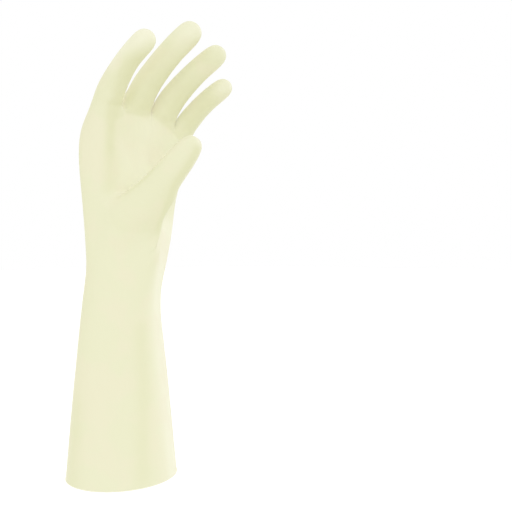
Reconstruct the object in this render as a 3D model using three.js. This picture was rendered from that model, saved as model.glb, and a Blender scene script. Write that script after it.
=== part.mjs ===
import * as THREE from 'three';

// A long surgical glove of thin cream latex, in the form it has on a left hand: the fingers
// bend softly forward and the thumb stands across the palm. It is one dipped skin, open at the
// hem, with a small rolled edge.
// Lengths are in millimetres and angles in degrees. The origin is the middle of the wrist.
// +Z runs to the fingertips, -Y is the palm side and -X is the thumb side.

// Thickness of the skin and radius of the rolled edge.
const WALL = 1.05;
const EDGE_RADIUS = 0.9;

// Cross sections of the sleeve from the hem to the wrist: height, centre, half width, half
// depth, and how much the section rises for each millimetre towards the palm.
const SLEEVE = [
  { z: -134.5, x: -0.8, y: 2.0, wide: 38.4, deep: 31.7, rise: -0.05 },
  { z: -95, x: -1.6, y: 1.5, wide: 34.9, deep: 27.9, rise: 0 },
  { z: -55, x: -1.9, y: 1.0, wide: 31.1, deep: 23.8, rise: 0 },
  { z: -22, x: -3.2, y: 0.6, wide: 27.0, deep: 19.7, rise: 0 },
  { z: 0, x: 0.6, y: 0.0, wide: 27.7, deep: 19.6, rise: 0 },
];

// Sections of the palm: share of the way from the wrist to the knuckles, how far the points
// slide from the thumb side towards the little finger, to make room for the thumb, and how
// much fuller the thumb side and the other side are than a straight run.
const PALM = [
  { share: 0.11, slide: 1.2, thumbSide: 0, otherSide: 0.3 },
  { share: 0.37, slide: 2.7, thumbSide: 0.2, otherSide: 0.3 },
  { share: 0.65, slide: 1.8, thumbSide: 1.3, otherSide: -2 },
  { share: 0.84, slide: 0.7, thumbSide: 2, otherSide: -0.6 },
];

// Soft forms on the palm: wrist end of the ball of the thumb, the ball itself, heel, skin
// between thumb and palm, hollow, and the ridge below the index finger.
const MOUNDS = [
  { x: -8, z: -4, across: 17, along: 30, height: 8 },
  { x: 3, z: 12, across: 11, along: 16, height: 8 },
  { x: 26, z: 18, across: 9, along: 22, height: 3.5 },
  { x: -4, z: 50, across: 12, along: 14, height: 3 },
  { x: 10, z: 62, across: 12, along: 16, height: -1.5 },
  { x: -25, z: 84, across: 8, along: 26, height: 2 },
];

// Depth of the knuckle section at each of its points, as a share of the depth of the finger:
// the low ones are the two sides of the hand and the grooves between the fingers.
const FRONT_SHARES = [0.8, 1, 1, 0.86, 1, 1, 0.97, 1, 1, 0.95, 1, 1, 0.8];
const BACK_SHARES = [0.74, 1, 1, 0.8, 1, 1, 0.8, 1, 1, 0.8, 1, 1, 0.74];

// Fingers from the thumb side. arch turns the palm side of the finger, spread leans it
// sideways; bends and bones are the three joints and bones from the knuckle on; radii are at
// the knuckle, the two joints and the tip. half, front and back size the hand at the knuckle.
// swell is the fullness of the pad beyond it, web the distance from the knuckle to the fork
// of the fingers, and pad how far before the fork the pad ends on the palm side.
const FINGERS = [
  {
    name: 'index', knuckle: [-21.9, -1.2, 82.3], arch: 7, spread: -5.9,
    bends: [31, 20, 13.5], bones: [38.3, 22.6, 23.6], radii: [11.4, 8.6, 7.05, 7.15],
    half: 10.6, front: 16.8, back: 9.8, swell: 1.28, web: 24.5, pad: 0,
  },
  {
    name: 'middle', knuckle: [-2.4, 0.3, 85.8], arch: 4, spread: 1.5,
    bends: [38.1, 18.8, 8.5], bones: [44.3, 27.4, 24.9], radii: [11, 8.8, 7.85, 7.65],
    half: 10.2, front: 18.2, back: 10.7, swell: 1.5, web: 27, pad: 4.5,
  },
  {
    name: 'ring', knuckle: [15.9, -1.2, 81], arch: -2, spread: 6.5,
    bends: [40.8, 22.9, 7.8], bones: [42.6, 27.6, 25.1], radii: [10.2, 8.6, 7.35, 6.95],
    half: 9.4, front: 17.6, back: 10.2, swell: 1.5, web: 26.5, pad: 4,
  },
  {
    name: 'little', knuckle: [31.2, -4.9, 74.5], arch: -7, spread: 12,
    bends: [38.6, 24.6, 10.1], bones: [34.6, 20.8, 23.2], radii: [8.8, 7.35, 6.65, 6.35],
    half: 8.6, front: 15.4, back: 8.8, swell: 1.5, web: 24.5, pad: 4,
  },
];

// Rings of a finger beyond the fork: the bone they stand on, their share of its length or
// their distance from its start, and their size.
const FINGER_RINGS = [
  { bone: 0, fromWeb: 5, size: 0.96 },
  { bone: 1, share: 0, offset: -2, size: 1 },
  { bone: 1, share: 0.5, offset: 0, size: 0.98 },
  { bone: 2, share: 0, offset: 0, size: 1 },
  { bone: 2, share: 0.45, offset: 0, size: 1 },
];

// Thumb: base inside the palm, turn from straight forward towards the little finger, rise
// above level; bends of its two joints, bones and radii as above.
const THUMB = {
  base: [-13.8, -3.4, 15.5], turn: 19.3, rise: 44.2,
  bends: [0, 8.8], bones: [40.8, 28.4, 23.5], radii: [17, 11.6, 9.4, 7.8],
};

// Rings of the thumb: distance from its base, size across and in height, shift in height,
// and how far the upper side leans ahead.
const THUMB_RINGS = [
  { along: 22, across: 1.18, high: 0.84, shift: 2.4, lean: 10 },
  { along: 33, across: 1.08, high: 0.9, shift: 1.4, lean: 8 },
  { along: 45, across: 1.02, high: 0.96, shift: 0.5, lean: 5 },
  { along: 58, across: 1, high: 1, shift: 0, lean: 0 },
  { along: 70, across: 1, high: 1, shift: 0, lean: 0 },
  { along: 78, across: 1, high: 1, shift: 0, lean: 0 },
];

// The thumb is a little flatter on four sides. THUMB_FLAT is the angle round its ring where
// one of them has its middle, the soft forms of the palm reach THUMB_ROOT along it, and its
// first ring stays ROOT_LIFT in front of the palm.
const THUMB_SQUARE = 0.04;
const THUMB_FLAT = 213;
const THUMB_ROOT = 40;
const ROOT_LIFT = 1.5;

// Last two rings of every tip: distance back from the end and size, in tip radii.
const TIP_RINGS = [
  { back: 0.95, size: 0.97 },
  { back: 0.33, size: 0.74 },
];

const LATEX = { color: '#edecce', roughness: 0.55, metalness: 0 };

// Points round the hand; half of them lie on the palm side, from the thumb side (0) to the
// little finger side (HALF). A finger has FINGER_POINTS round it and the thumb THUMB_POINTS.
const AROUND = 28;
const HALF = AROUND / 2;
const FINGER_POINTS = 10;
const THUMB_POINTS = 12;
const THUMB_COLUMNS = [1, 2, 3, 4];
const KNUCKLE_EDGE = 2.6;
const PAD_EDGE = 1.6;
const STEP = 0.5;

const rad = THREE.MathUtils.degToRad;
const vec = (p) => new THREE.Vector3(p[0], p[1], p[2]);
const smooth = (t) => THREE.MathUtils.smoothstep(t, 0, 1);

// Value of a line through the points (xs, ys) at x.
function along(x, xs, ys) {
  let k = 1;
  while (k < xs.length - 1 && x > xs[k]) k += 1;
  const t = THREE.MathUtils.clamp((x - xs[k - 1]) / (xs[k] - xs[k - 1]), 0, 1);
  return ys[k - 1] + (ys[k] - ys[k - 1]) * t;
}

// Where a bending line is after s millimetres: it starts at a point in direction t and
// bends towards p.
function follow(start, t, p, turn, s) {
  const centre = start.clone();
  const count = Math.max(1, Math.round(Math.abs(s) / STEP));
  const h = s / count;
  for (let k = 0; k < count; k += 1) {
    const angle = turn((k + 0.5) * h);
    centre.addScaledVector(t, h * Math.cos(angle)).addScaledVector(p, h * Math.sin(angle));
  }
  const a = turn(s);
  return {
    centre,
    tangent: t.clone().multiplyScalar(Math.cos(a)).addScaledVector(p, Math.sin(a)),
    normal: p.clone().multiplyScalar(Math.cos(a)).addScaledVector(t, -Math.sin(a)),
  };
}

// Frame of a finger s millimetres past its knuckle: u points to the little finger side and
// v to the palm side.
function fingerFrame(finger, s) {
  const a = rad(finger.arch);
  const lean = rad(finger.spread);
  const palm = new THREE.Vector3(Math.sin(a), -Math.cos(a), 0);
  const side = new THREE.Vector3(Math.cos(a), Math.sin(a), 0);
  const up = new THREE.Vector3(0, 0, 1);
  const t = up.clone().multiplyScalar(Math.cos(lean)).addScaledVector(side, Math.sin(lean));
  const u = side.clone().multiplyScalar(Math.cos(lean)).addScaledVector(up, -Math.sin(lean));
  const [first, second] = finger.bones;
  const [b0, b1, b2] = finger.bends.map(rad);
  const turn = (x) => b0 * smooth((x + 15) / 30)
    + b1 * smooth((x - first + 10) / 20)
    + b2 * smooth((x - first - second + 9) / 18);
  const line = follow(vec(finger.knuckle), t, palm, turn, s);
  return { centre: line.centre, u, v: line.normal };
}

// Frame of the thumb s millimetres from its base: u points to the little finger side and v
// to the fingertips.
function thumbFrame(s) {
  const turned = rad(THUMB.turn);
  const rise = rad(THUMB.rise);
  const level = Math.cos(rise);
  const t = new THREE.Vector3(Math.sin(turned) * level, -Math.cos(turned) * level, Math.sin(rise));
  const inward = new THREE.Vector3(0.5, 0.3, 0.6);
  inward.addScaledVector(t, -inward.dot(t)).normalize();
  const [first, second] = THUMB.bones;
  const [b0, b1] = THUMB.bends.map(rad);
  const turn = (x) => b0 * smooth((x - first + 9) / 18)
    + b1 * smooth((x - first - second + 8) / 16);
  const line = follow(vec(THUMB.base), t, inward, turn, s);
  const u = new THREE.Vector3(1, 0, 0);
  u.addScaledVector(line.tangent, -u.dot(line.tangent)).normalize();
  return { centre: line.centre, u, v: line.tangent.clone().cross(u) };
}

const lengthOf = (digit) => digit.bones[0] + digit.bones[1] + digit.bones[2];

function radiusAt(digit, s) {
  const [first, second] = digit.bones;
  return along(s, [0, first, first + second, lengthOf(digit) - 4], digit.radii);
}

const ROUND = { across: 1, high: 1, shift: 0, lean: 0, square: 0 };

// Control points of a ring. The smoothed skin runs inside its control points, so they stand
// further out by the share the smoothing takes.
function ringPoints(frame, radius, count, form = ROUND) {
  const ahead = frame.u.clone().cross(frame.v);
  const outside = radius * 3 / (2 + Math.cos(2 * Math.PI / count));
  const points = [];
  for (let k = 0; k < count; k += 1) {
    const angle = 2 * Math.PI * k / count;
    const r = outside * (1 - form.square * Math.cos(4 * (angle - rad(THUMB_FLAT))));
    points.push(frame.centre.clone()
      .addScaledVector(frame.u, r * form.across * Math.cos(angle))
      .addScaledVector(frame.v, form.shift + r * form.high * Math.sin(angle))
      .addScaledVector(ahead, form.lean * Math.max(0, Math.sin(angle))));
  }
  return points;
}

const points = [];
const quads = [];

function addPoint(p) {
  points.push(p);
  return points.length - 1;
}

const addRing = (ring) => ring.map(addPoint);

// Skin between two rings of the same count.
function addTube(lower, upper, clockwise) {
  const n = lower.length;
  for (let k = 0; k < n; k += 1) {
    const m = (k + 1) % n;
    quads.push(clockwise
      ? [lower[m], lower[k], upper[k], upper[m]]
      : [lower[k], lower[m], upper[m], upper[k]]);
  }
}

// Rounded tip of a finger or the thumb.
function addTip(last, frameAt, digit, clockwise) {
  const n = last.length;
  const radius = digit.radii[3];
  let ring = last;
  for (const row of TIP_RINGS) {
    const frame = frameAt(lengthOf(digit) - radius * row.back);
    const next = addRing(ringPoints(frame, radius * row.size, n));
    addTube(ring, next, clockwise);
    ring = next;
  }
  const end = frameAt(lengthOf(digit) + radius * 0.06);
  const half = n / 2;
  const inner = half - 3;
  const reach = inner === 2 ? 0.24 : 0.38;
  const middle = [ring[half]];
  for (let j = 0; j < inner; j += 1) {
    const place = (2 * j - (inner - 1)) / (inner - 1);
    middle.push(addPoint(end.centre.clone().addScaledVector(end.u, radius * reach * place)));
  }
  middle.push(ring[0]);
  for (let j = 0; j < half - 2; j += 1) {
    const front = [ring[half - 1 - j], ring[half - 2 - j]];
    const back = [ring[half + 1 + j], ring[(half + 2 + j) % n]];
    const frontQuad = [middle[j], front[0], front[1], middle[j + 1]];
    const backQuad = [middle[j], middle[j + 1], back[1], back[0]];
    quads.push(clockwise ? frontQuad : frontQuad.reverse());
    quads.push(clockwise ? backQuad : backQuad.reverse());
  }
}

// Sleeve section: an oval, tilted by its rise.
function sleeveSection(row) {
  const section = [];
  for (let k = 0; k < AROUND; k += 1) {
    const angle = Math.PI + 2 * Math.PI * k / AROUND;
    const x = row.wide * Math.cos(angle);
    const y = row.deep * Math.sin(angle);
    section.push(new THREE.Vector3(row.x + x, row.y + y, row.z - row.rise * y));
  }
  return section;
}

// Section of the hand across all four fingers, at one distance past the knuckles on the palm
// side and another on the back. Points shared by two fingers lie halfway between them.
function handSection(at, frontDepth, backDepth, halfWidth, edge) {
  const section = Array.from({ length: AROUND }, () => new THREE.Vector3());
  const counts = new Array(AROUND).fill(0);
  FINGERS.forEach((finger, i) => {
    const front = fingerFrame(finger, at.front);
    const back = fingerFrame(finger, at.back);
    [-1, -1 / 3, 1 / 3, 1].forEach((place, j) => {
      const k = 1 + 3 * i + j;
      const x = place * halfWidth(finger);
      section[k].add(front.centre).addScaledVector(front.u, x)
        .addScaledVector(front.v, frontDepth(finger) * FRONT_SHARES[k - 1]);
      section[AROUND - k].add(back.centre).addScaledVector(back.u, x)
        .addScaledVector(back.v, -backDepth(finger) * BACK_SHARES[k - 1]);
      counts[k] += 1;
      counts[AROUND - k] += 1;
    });
  });
  section.forEach((p, k) => p.divideScalar(Math.max(1, counts[k])));
  const sides = [[0, FINGERS[0], -1], [HALF, FINGERS[3], 1]];
  for (const [k, finger, sign] of sides) {
    const frame = fingerFrame(finger, at.side);
    section[k].copy(frame.centre).addScaledVector(frame.u, sign * (halfWidth(finger) + edge));
  }
  return section;
}

// Section at the forks, made of the front and back halves of a ring round each finger, and
// the three points between the fingers.
function forkSection() {
  const section = Array.from({ length: AROUND }, () => new THREE.Vector3());
  const counts = new Array(AROUND).fill(0);
  const sides = FINGERS.map((finger, i) => {
    const radius = radiusAt(finger, finger.web);
    const front = ringPoints(fingerFrame(finger, finger.web - finger.pad), radius, FINGER_POINTS);
    const back = ringPoints(fingerFrame(finger, finger.web - 7), radius, FINGER_POINTS);
    const side = ringPoints(fingerFrame(finger, finger.web - 4), radius, FINGER_POINTS);
    for (let j = 0; j < 4; j += 1) {
      const k = 1 + 3 * i + j;
      section[k].add(front[4 - j]);
      section[AROUND - k].add(back[6 + j]);
      counts[k] += 1;
      counts[AROUND - k] += 1;
    }
    return { low: side[5], high: side[0] };
  });
  section.forEach((p, k) => p.divideScalar(Math.max(1, counts[k])));
  section[0].copy(sides[0].low);
  section[HALF].copy(sides[3].high);
  const forks = [0, 1, 2].map((i) => sides[i].high.clone().lerp(sides[i + 1].low, 0.5));
  return { section, forks };
}

// Section between wrist and knuckles, its palm side slid towards the little finger.
function palmSection(wrist, knuckles, row) {
  const plain = wrist.map((p, k) => p.clone().lerp(knuckles[k], row.share));
  const section = plain.map((p, k) => {
    if (k === 0 || k >= HALF) return p.clone();
    const place = along(k, [0, 1, 5, HALF], [0, 1 + 0.2 * row.slide, 5 + row.slide, HALF]);
    const low = Math.min(Math.floor(place), HALF - 1);
    return plain[low].clone().lerp(plain[low + 1], place - low);
  });
  for (const [k, share] of [[AROUND - 1, 0.5], [0, 1], [1, 0.5]]) {
    section[k].x -= share * row.thumbSide;
  }
  for (const [k, share] of [[HALF - 2, 0.5], [HALF - 1, 1], [HALF, 1], [HALF + 1, 0.5]]) {
    section[k].x += share * row.otherSide;
  }
  return section;
}

// Points moved out of the palm by its soft forms, each by the share that fadeOf gives it.
function withMounds(ring, fadeOf) {
  return ring.map((p, k) => {
    let height = 0;
    for (const m of MOUNDS) {
      height += m.height * Math.exp(-(((p.x - m.x) / m.across) ** 2) - ((p.z - m.z) / m.along) ** 2);
    }
    return p.clone().setY(p.y - fadeOf(k) * height);
  });
}

const palmFade = (k) => (k > 0 && k < HALF ? Math.sqrt(Math.sin(Math.PI * k / HALF)) : 0);
const thumbFade = (k) => (1 - Math.sin(2 * Math.PI * k / THUMB_POINTS)) / 2;

function addHand() {
  const sleeve = SLEEVE.map(sleeveSection);
  const wrist = sleeve[sleeve.length - 1];
  const knuckles = handSection(
    { front: 0, back: 0, side: 0 }, (f) => f.front, (f) => f.back, (f) => f.half, KNUCKLE_EDGE,
  );
  const beyond = handSection(
    { front: 12, back: 8, side: 10 },
    (f) => radiusAt(f, 8) * f.swell, (f) => radiusAt(f, 8), (f) => radiusAt(f, 8) * 0.88, PAD_EDGE,
  );
  const { section: fork, forks } = forkSection();
  const palm = PALM.map((row) => palmSection(wrist, knuckles, row));
  const formed = [...sleeve, ...palm, knuckles].map((section) => withMounds(section, palmFade));
  const rows = [...formed, beyond, fork].map(addRing);
  const forkIds = forks.map(addPoint);
  const thumbRow = sleeve.length;
  for (let r = 0; r < rows.length - 1; r += 1) {
    for (let k = 0; k < AROUND; k += 1) {
      const open = (r === thumbRow || r === thumbRow + 1) && THUMB_COLUMNS.includes(k);
      const m = (k + 1) % AROUND;
      if (!open) quads.push([rows[r][k], rows[r][m], rows[r + 1][m], rows[r + 1][k]]);
    }
  }
  return { rows, forkIds, thumbRow };
}

function addFinger(finger, i, web, forkIds) {
  let ring = [i < 3 ? forkIds[i] : web[HALF]];
  for (let j = 0; j < 4; j += 1) ring.push(web[4 + 3 * i - j]);
  ring.push(i > 0 ? forkIds[i - 1] : web[0]);
  for (let j = 0; j < 4; j += 1) ring.push(web[AROUND - 1 - 3 * i - j]);
  const starts = [0, finger.bones[0], finger.bones[0] + finger.bones[1]];
  for (const row of FINGER_RINGS) {
    const s = row.fromWeb
      ? finger.web + row.fromWeb
      : starts[row.bone] + row.share * finger.bones[row.bone] + row.offset;
    const radius = radiusAt(finger, s) * row.size;
    const next = addRing(ringPoints(fingerFrame(finger, s), radius, FINGER_POINTS));
    addTube(ring, next, true);
    ring = next;
  }
  addTip(ring, (s) => fingerFrame(finger, s), finger, true);
}

// The thumb grows out of an opening of four by two quads in the palm side.
function addThumb(rows, first) {
  const [low, mid, high] = [rows[first], rows[first + 1], rows[first + 2]];
  let ring = [
    mid[5], high[5], high[4], high[3], high[2], high[1],
    mid[1], low[1], low[2], low[3], low[4], low[5],
  ];
  for (const row of THUMB_RINGS) {
    const radius = radiusAt(THUMB, row.along);
    const frame = thumbFrame(row.along);
    const round = ringPoints(frame, radius, THUMB_POINTS, { ...row, square: THUMB_SQUARE });
    const places = row.along < THUMB_ROOT ? withMounds(round, thumbFade) : round;
    if (row === THUMB_RINGS[0]) {
      places.forEach((p, k) => { p.y = Math.min(p.y, points[ring[k]].y - ROOT_LIFT); });
    }
    const next = addRing(places);
    addTube(ring, next, false);
    ring = next;
  }
  addTip(ring, thumbFrame, THUMB, false);
}

// One round of smoothing: each quad becomes four, and the points move to rounder places.
function smoothed(oldPoints, oldQuads) {
  const used = [...new Set(oldQuads.flat())].sort((a, b) => a - b);
  const renumber = new Map(used.map((id, k) => [id, k]));
  const corners = used.map((id) => oldPoints[id]);
  const faces = oldQuads.map((q) => q.map((id) => renumber.get(id)));
  const centres = faces.map((q) => {
    const sum = new THREE.Vector3();
    q.forEach((id) => sum.add(corners[id]));
    return sum.multiplyScalar(0.25);
  });
  const edges = new Map();
  faces.forEach((q, f) => {
    q.forEach((a, k) => {
      const b = q[(k + 1) % 4];
      const key = a < b ? `${a}/${b}` : `${b}/${a}`;
      if (!edges.has(key)) edges.set(key, { a, b, faces: [] });
      edges.get(key).faces.push(f);
    });
  });
  const around = corners.map(() => ({
    centres: new THREE.Vector3(), faces: 0, mids: new THREE.Vector3(), edges: 0,
    rim: new THREE.Vector3(), rims: 0,
  }));
  faces.forEach((q, f) => q.forEach((id) => {
    around[id].centres.add(centres[f]);
    around[id].faces += 1;
  }));
  const newPoints = [];
  const edgeIds = new Map();
  for (const [key, edge] of edges) {
    const mid = corners[edge.a].clone().lerp(corners[edge.b], 0.5);
    for (const id of [edge.a, edge.b]) {
      around[id].mids.add(mid);
      around[id].edges += 1;
      if (edge.faces.length === 1) {
        around[id].rim.add(mid);
        around[id].rims += 1;
      }
    }
    const place = mid.clone();
    if (edge.faces.length === 2) {
      place.multiplyScalar(2).add(centres[edge.faces[0]]).add(centres[edge.faces[1]]);
      place.multiplyScalar(0.25);
    }
    edgeIds.set(key, newPoints.length);
    newPoints.push(place);
  }
  const centreIds = centres.map((p) => newPoints.push(p) - 1);
  const cornerIds = corners.map((p, id) => {
    const near = around[id];
    const n = near.edges;
    const place = new THREE.Vector3();
    if (near.rims) {
      place.copy(near.rim).divideScalar(near.rims).add(p).multiplyScalar(0.5);
    } else {
      place.copy(near.centres).divideScalar(near.faces)
        .addScaledVector(near.mids, 2 / n).addScaledVector(p, n - 3).divideScalar(n);
    }
    return newPoints.push(place) - 1;
  });
  const newQuads = [];
  faces.forEach((q, f) => {
    q.forEach((id, k) => {
      const after = q[(k + 1) % 4];
      const before = q[(k + 3) % 4];
      const edgeId = (x, y) => edgeIds.get(x < y ? `${x}/${y}` : `${y}/${x}`);
      newQuads.push([cornerIds[id], edgeId(id, after), centreIds[f], edgeId(before, id)]);
    });
  });
  return { points: newPoints, quads: newQuads };
}

// Outward direction at every point, lengthened where the skin bends sharply, so that the
// wall keeps its thickness there.
function outwardSteps(skinPoints, skinQuads) {
  const normals = skinQuads.map((q) => {
    const [a, b, c, d] = q.map((id) => skinPoints[id]);
    return c.clone().sub(a).cross(d.clone().sub(b)).normalize();
  });
  const sums = skinPoints.map(() => new THREE.Vector3());
  skinQuads.forEach((q, f) => q.forEach((id) => sums[id].add(normals[f])));
  const counts = new Array(skinPoints.length).fill(0);
  const cosines = new Array(skinPoints.length).fill(0);
  sums.forEach((v) => v.normalize());
  skinQuads.forEach((q, f) => q.forEach((id) => {
    counts[id] += 1;
    cosines[id] += normals[f].dot(sums[id]);
  }));
  return sums.map((v, id) => v.clone().divideScalar(Math.max(0.75, cosines[id] / counts[id])));
}

// The open rim of the skin, as one loop of point numbers in the order of its quads.
function rimLoop(skinQuads) {
  const next = new Map();
  const seen = new Set();
  skinQuads.forEach((q) => q.forEach((a, k) => seen.add(`${a}/${q[(k + 1) % 4]}`)));
  skinQuads.forEach((q) => q.forEach((a, k) => {
    const b = q[(k + 1) % 4];
    if (!seen.has(`${b}/${a}`)) next.set(a, b);
  }));
  const loop = [next.keys().next().value];
  while (next.get(loop[loop.length - 1]) !== loop[0]) loop.push(next.get(loop[loop.length - 1]));
  return loop;
}

// Closed body: outer skin, inner skin one wall inside it, and the rolled edge between them.
function glovePiece(skinPoints, skinQuads) {
  const steps = outwardSteps(skinPoints, skinQuads);
  const count = skinPoints.length;
  const all = skinPoints.map((p) => p.clone());
  skinPoints.forEach((p, id) => all.push(p.clone().addScaledVector(steps[id], -WALL)));
  const triangles = [];
  const addQuad = (a, b, c, d) => {
    const short = all[a].distanceTo(all[c]) <= all[b].distanceTo(all[d]);
    if (short) triangles.push(a, b, c, a, c, d);
    else triangles.push(a, b, d, b, c, d);
  };
  skinQuads.forEach(([a, b, c, d]) => {
    addQuad(a, b, c, d);
    addQuad(a + count, d + count, c + count, b + count);
  });
  const rim = rimLoop(skinQuads);
  const down = new THREE.Vector3(0, 0, -1);
  const rolled = [0, -90, -180].map((angle) => rim.map((id) => {
    const out = steps[id].clone().setZ(0).normalize();
    const centre = all[id].clone().lerp(all[id + count], 0.5).addScaledVector(down, EDGE_RADIUS);
    return all.push(centre
      .addScaledVector(out, EDGE_RADIUS * Math.cos(rad(angle)))
      .addScaledVector(down, -EDGE_RADIUS * Math.sin(rad(angle)))) - 1;
  }));
  const loops = [rim, ...rolled, rim.map((id) => id + count)];
  for (let r = 0; r < loops.length - 1; r += 1) {
    rim.forEach((_, k) => {
      const m = (k + 1) % rim.length;
      addQuad(loops[r][m], loops[r][k], loops[r + 1][k], loops[r + 1][m]);
    });
  }
  const geometry = new THREE.BufferGeometry();
  geometry.setAttribute('position', new THREE.Float32BufferAttribute(
    all.flatMap((p) => [p.x, p.y, p.z]), 3,
  ));
  geometry.setIndex(triangles);
  geometry.computeVertexNormals();
  return geometry;
}

const hand = addHand();
const web = hand.rows[hand.rows.length - 1];
FINGERS.forEach((finger, i) => addFinger(finger, i, web, hand.forkIds));
addThumb(hand.rows, hand.thumbRow);

const skin = smoothed(points, quads);
const glove = new THREE.Mesh(
  glovePiece(skin.points, skin.quads),
  new THREE.MeshStandardMaterial(LATEX),
);
glove.name = 'glove_body';

const group = new THREE.Group();
group.name = 'surgical_glove';
group.add(glove);

export default group;
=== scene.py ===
# %% [markdown]
# # A long surgical glove in latex
# The real glove is made by dipping a porcelain hand into liquid latex: one thin skin with four
# finger stalls, a thumb stall, a palm and a long sleeve with a rolled edge. It stands here in
# the form it has when it is worn. The imported CAD solid gives its place and its size, and this
# script gives the visible skin. We start by loading that frame.

# %% Load the frame
from math import cos, sin, radians, pi, sqrt

import bpy
import numpy as np
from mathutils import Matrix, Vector


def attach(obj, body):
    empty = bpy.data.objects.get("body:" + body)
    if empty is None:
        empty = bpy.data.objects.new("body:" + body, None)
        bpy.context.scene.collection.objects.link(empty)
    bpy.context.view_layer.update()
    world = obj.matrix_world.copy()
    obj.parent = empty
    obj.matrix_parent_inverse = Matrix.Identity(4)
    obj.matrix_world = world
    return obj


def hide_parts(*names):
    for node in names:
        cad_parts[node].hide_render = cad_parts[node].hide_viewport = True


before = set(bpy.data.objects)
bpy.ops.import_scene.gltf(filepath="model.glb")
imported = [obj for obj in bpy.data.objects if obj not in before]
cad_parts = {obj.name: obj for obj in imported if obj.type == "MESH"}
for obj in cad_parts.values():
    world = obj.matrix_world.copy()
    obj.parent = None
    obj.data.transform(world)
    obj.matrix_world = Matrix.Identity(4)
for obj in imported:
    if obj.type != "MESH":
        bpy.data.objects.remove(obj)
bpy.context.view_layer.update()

# %% [markdown]
# ## Camera
# The photograph looks at the hand from its thumb side and a little from the palm, level with
# the wrist. The glove stands left of the middle of the picture, so the camera stands to the
# right of it and looks past it. That gives the true perspective, and no lens shift is needed.
# All positions below are worked out in millimetres and turned to metres at the end.

# %% Camera
MM = 0.001
LOOK = radians(44.0)          # how far the view is turned from straight at the palm
ASIDE, AWAY, ABOVE = 87.07, 474.0, 8.96
view_right = np.array([cos(LOOK), -sin(LOOK), 0.0])
view_ahead = np.array([sin(LOOK), cos(LOOK), 0.0])


def add_object(name, data):
    """A new object in the scene that shows this data."""
    obj = bpy.data.objects.new(name, data)
    bpy.context.collection.objects.link(obj)
    return obj


lens = bpy.data.cameras.new("camera")
lens.lens, lens.sensor_width = 50.0, 36.0
camera = add_object("camera", lens)
camera.location = Vector((view_right * ASIDE - view_ahead * AWAY + [0, 0, ABOVE]) * MM)
camera.rotation_euler = (radians(90), 0, -LOOK)
bpy.context.scene.camera = camera
print("camera at", [round(v, 3) for v in camera.location])

# %% [markdown]
# ## Sizes of the hand
# A glove is sized like the porcelain form it is dipped on, so the tables are the measures of
# that form: sections of the sleeve, sections of the palm, the soft forms of the palm, and the
# joints, bones and radii of each finger. A short table is easier to correct than a sculpted
# mesh, and the CAD solid is made from the same sizes, so the two stay in step. Only the ball of
# the thumb is a little fuller here, by a step of its own further down.

# %% Sizes of sleeve and palm
SLEEVE = [  # height, centre x, centre y, half width, half depth, rise towards the palm
    (-136.0, -0.8, 2.0, 38.5, 31.7, -0.05),
    (-95.0, -1.6, 1.5, 34.9, 27.9, 0.0),
    (-55.0, -1.9, 1.0, 31.1, 23.8, 0.0),
    (-22.0, -3.2, 0.6, 27.0, 19.7, 0.0),
    (0.0, 0.6, 0.0, 27.7, 19.6, 0.0),
]
PALM = [  # share of the way to the knuckles, slide away from the thumb, fullness of both sides
    (0.11, 1.2, 0.0, 0.3),
    (0.37, 2.7, 0.2, 0.3),
    (0.65, 1.8, 1.3, -2.0),
    (0.84, 0.7, 2.0, -0.6),
]
MOUNDS = [  # x, z, width, length and height of a soft form on the palm
    (-8, -4, 17, 30, 8.0),      # wrist end of the ball of the thumb
    (3, 12, 11, 16, 8.0),       # ball of the thumb
    (26, 18, 9, 22, 3.5),       # heel
    (-4, 50, 12, 14, 3.0),      # skin between thumb and palm
    (10, 62, 12, 16, -1.5),     # hollow
    (-25, 84, 8, 26, 2.0),      # ridge below the index finger
]
KNUCKLE_SIDE, BEYOND_SIDE = 2.6, 1.6   # how far the hand is fuller than its outer fingers
BEYOND_FRONT, BEYOND_BACK, BEYOND_EDGE = 12, 8, 10   # how far past the knuckles the next row is
BEYOND_WIDTH = 0.88                                  # and its half width, in finger radii
FRONT_SHARES = [0.8, 1, 1, 0.86, 1, 1, 0.97, 1, 1, 0.95, 1, 1, 0.8]
BACK_SHARES = [0.74, 1, 1, 0.8, 1, 1, 0.8, 1, 1, 0.8, 1, 1, 0.74]
print("sleeve sections:", len(SLEEVE), " palm sections:", len(PALM))

# %% Sizes of fingers and thumb
# knuckle: its middle. arch, spread, bends: angles of the knuckle, sideways and at the joints.
# bones, radii: lengths from joint to joint, and radii at the joints and near the tip.
# half, front, back: half width and depths of the hand at the knuckle. web: where the fork lies.
# pad: how much lower the fork is on the palm side. swell: fullness below the fork.
FINGERS = [
    dict(name="index", knuckle=(-21.9, -1.2, 82.3), arch=7, spread=-5.9, bends=(31, 20, 13.5),
         bones=(38.3, 22.6, 23.6), radii=(11.4, 8.6, 7.05, 7.15),
         half=10.6, front=16.8, back=9.8, web=24.5, pad=0, swell=1.28),
    dict(name="middle", knuckle=(-2.4, 0.3, 85.8), arch=4, spread=1.5, bends=(38.1, 18.8, 8.5),
         bones=(44.3, 27.4, 24.9), radii=(11, 8.8, 7.85, 7.65),
         half=10.2, front=18.2, back=10.7, web=27, pad=4.5, swell=1.5),
    dict(name="ring", knuckle=(15.9, -1.2, 81), arch=-2, spread=6.5, bends=(40.8, 22.9, 7.8),
         bones=(42.6, 27.6, 25.1), radii=(10.2, 8.6, 7.35, 6.95),
         half=9.4, front=17.6, back=10.2, web=26.5, pad=4, swell=1.5),
    dict(name="little", knuckle=(31.2, -4.9, 74.5), arch=-7, spread=12, bends=(38.6, 24.6, 10.1),
         bones=(34.6, 20.8, 23.2), radii=(8.8, 7.35, 6.65, 6.35),
         half=8.6, front=15.4, back=8.8, web=24.5, pad=4, swell=1.5),
]
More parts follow.
